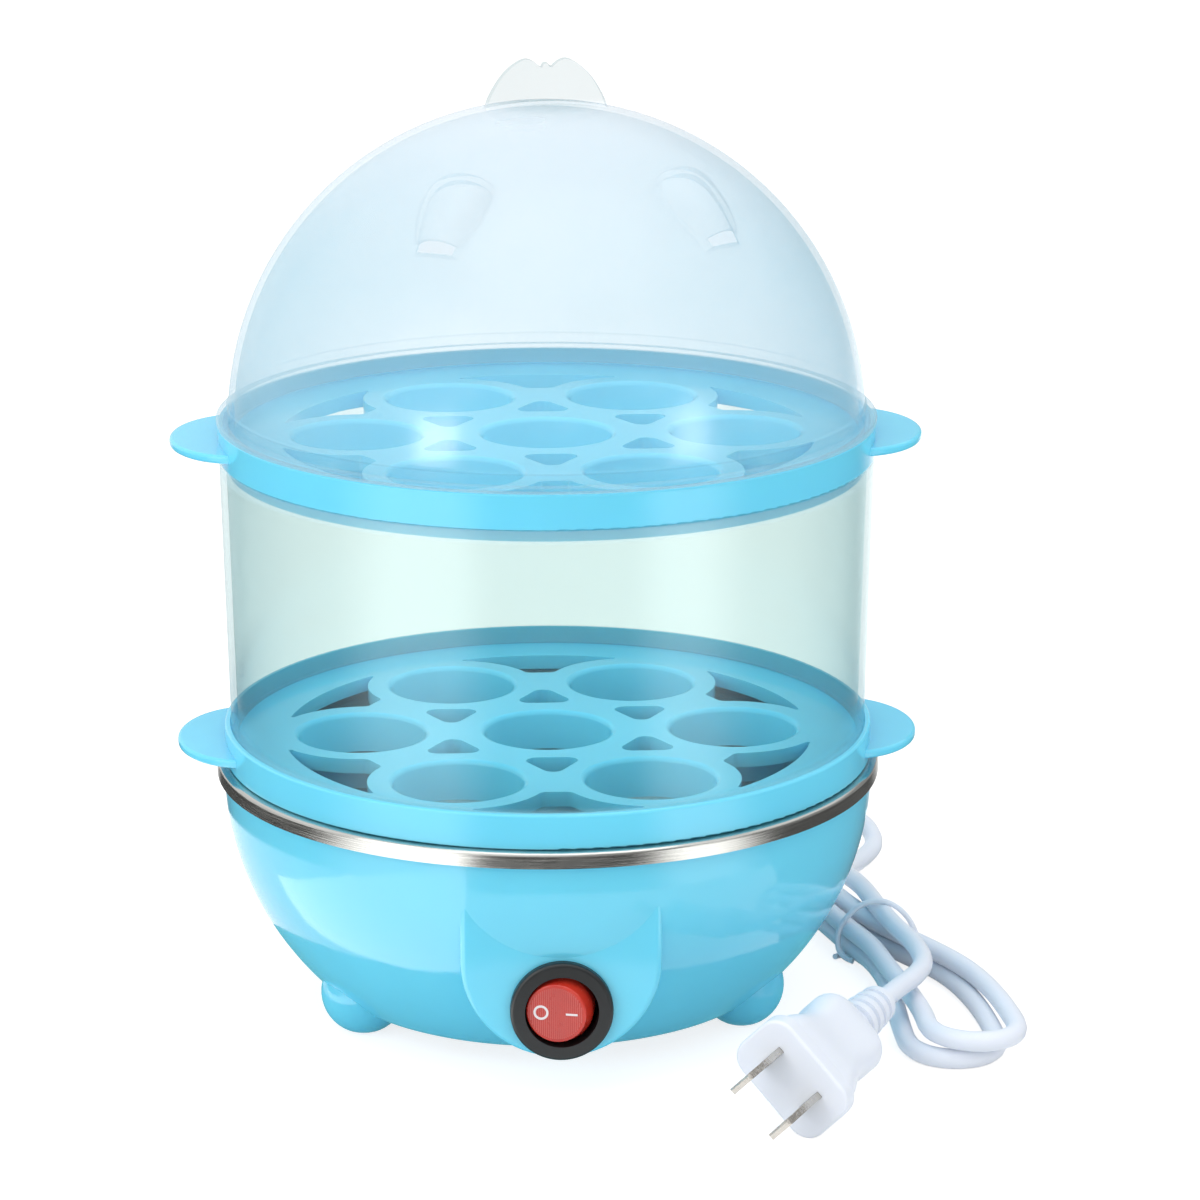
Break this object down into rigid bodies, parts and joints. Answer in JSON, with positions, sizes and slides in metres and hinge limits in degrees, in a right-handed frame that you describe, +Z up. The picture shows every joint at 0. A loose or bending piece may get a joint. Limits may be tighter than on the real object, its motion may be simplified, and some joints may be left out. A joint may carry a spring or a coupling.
{
  "type": "two-tier egg boiler",
  "caption": "Table-top electric egg boiler: round bowl with steel water pan and rocker switch, stacked egg trays, clear ring and domed steam lid, with mains lead.",
  "frame": {"origin": "on the ground, under the middle of the bowl", "axes": "+Z up through the stack, -Y towards the switch, +X towards the user's right, where the tied lead lies"},
  "size_m": [0.1954, 0.2566, 0.2232],
  "materials": {
    "blue_plastic": "moulded sky blue polypropylene, glossy",
    "pan_steel": "stainless sheet, brushed round the rim",
    "clear_plastic": "clear moulded styrene",
    "frosted_plastic": "translucent natural polypropylene",
    "black_plastic": "moulded nylon, satin",
    "red_lens": "translucent red polycarbonate",
    "white_pvc": "soft white PVC",
    "plug_metal": "nickel plated",
    "brass_blade": "stamped brass",
    "zinc_steel": "zinc plated steel",
    "cast_aluminium": "as cast",
    "ceramic": "unglazed ceramic",
    "lamp_glass": "glow lamp glass",
    "brown_wire": "wire insulation",
    "blue_wire": "wire insulation"
  },
  "bodies": {
    "base": {"base_housing": "blue_plastic", "bottom_cover": "blue_plastic", "cover_screws": "zinc_steel", "pan_screws": "zinc_steel", "pan_standoffs": "zinc_steel", "heater_pan": "pan_steel", "heat_plate": "cast_aluminium", "switch_body": "black_plastic", "cord_strain_relief": "white_pvc", "cord_lead": "white_pvc", "cord_hank": "white_pvc", "cord_tie": "white_pvc", "plug_lead": "white_pvc", "plug_body": "white_pvc", "plug_pins": "plug_metal", "heating_element": "cast_aluminium", "element_seals": "ceramic", "element_pins": "zinc_steel", "thermostat": "black_plastic", "thermostat_bracket": "zinc_steel", "plate_screws": "zinc_steel", "thermal_fuse": "zinc_steel", "fuse_clip": "zinc_steel", "neon_lamp": "lamp_glass", "switch_terminals": "brass_blade", "cord_tail": "white_pvc", "cord_clamp": "blue_plastic", "clamp_screws": "zinc_steel", "live_wire": "brown_wire", "neutral_wire": "blue_wire", "switch_wire": "brown_wire", "fuse_wire": "brown_wire", "element_wire": "brown_wire", "lamp_wire": "blue_wire"},
    "rocker": {"switch_rocker": "red_lens"},
    "tray_low": {"lower_tray": "blue_plastic"},
    "ring": {"clear_ring": "clear_plastic"},
    "tray_high": {"upper_tray": "blue_plastic"},
    "lid": {"dome_lid": "frosted_plastic"}
  },
  "joints": [
    {"name": "rocker_tilt", "type": "hinge", "parent": "base", "child": "rocker", "pos_m": [0, -0.06905, 0.022], "axis": [0, 0, 1], "range_deg": [0, 25]},
    {"name": "lower_tray_lift", "type": "slide", "parent": "base", "child": "tray_low", "axis": [0, 0, 1], "range_m": [0, 0.03]},
    {"name": "ring_lift", "type": "slide", "parent": "tray_low", "child": "ring", "axis": [0, 0, 1], "range_m": [0, 0.07]},
    {"name": "upper_tray_lift", "type": "slide", "parent": "ring", "child": "tray_high", "axis": [0, 0, 1], "range_m": [0, 0.03]},
    {"name": "lid_lift", "type": "slide", "parent": "tray_high", "child": "lid", "axis": [0, 0, 1], "range_m": [0, 0.08]}
  ]
}
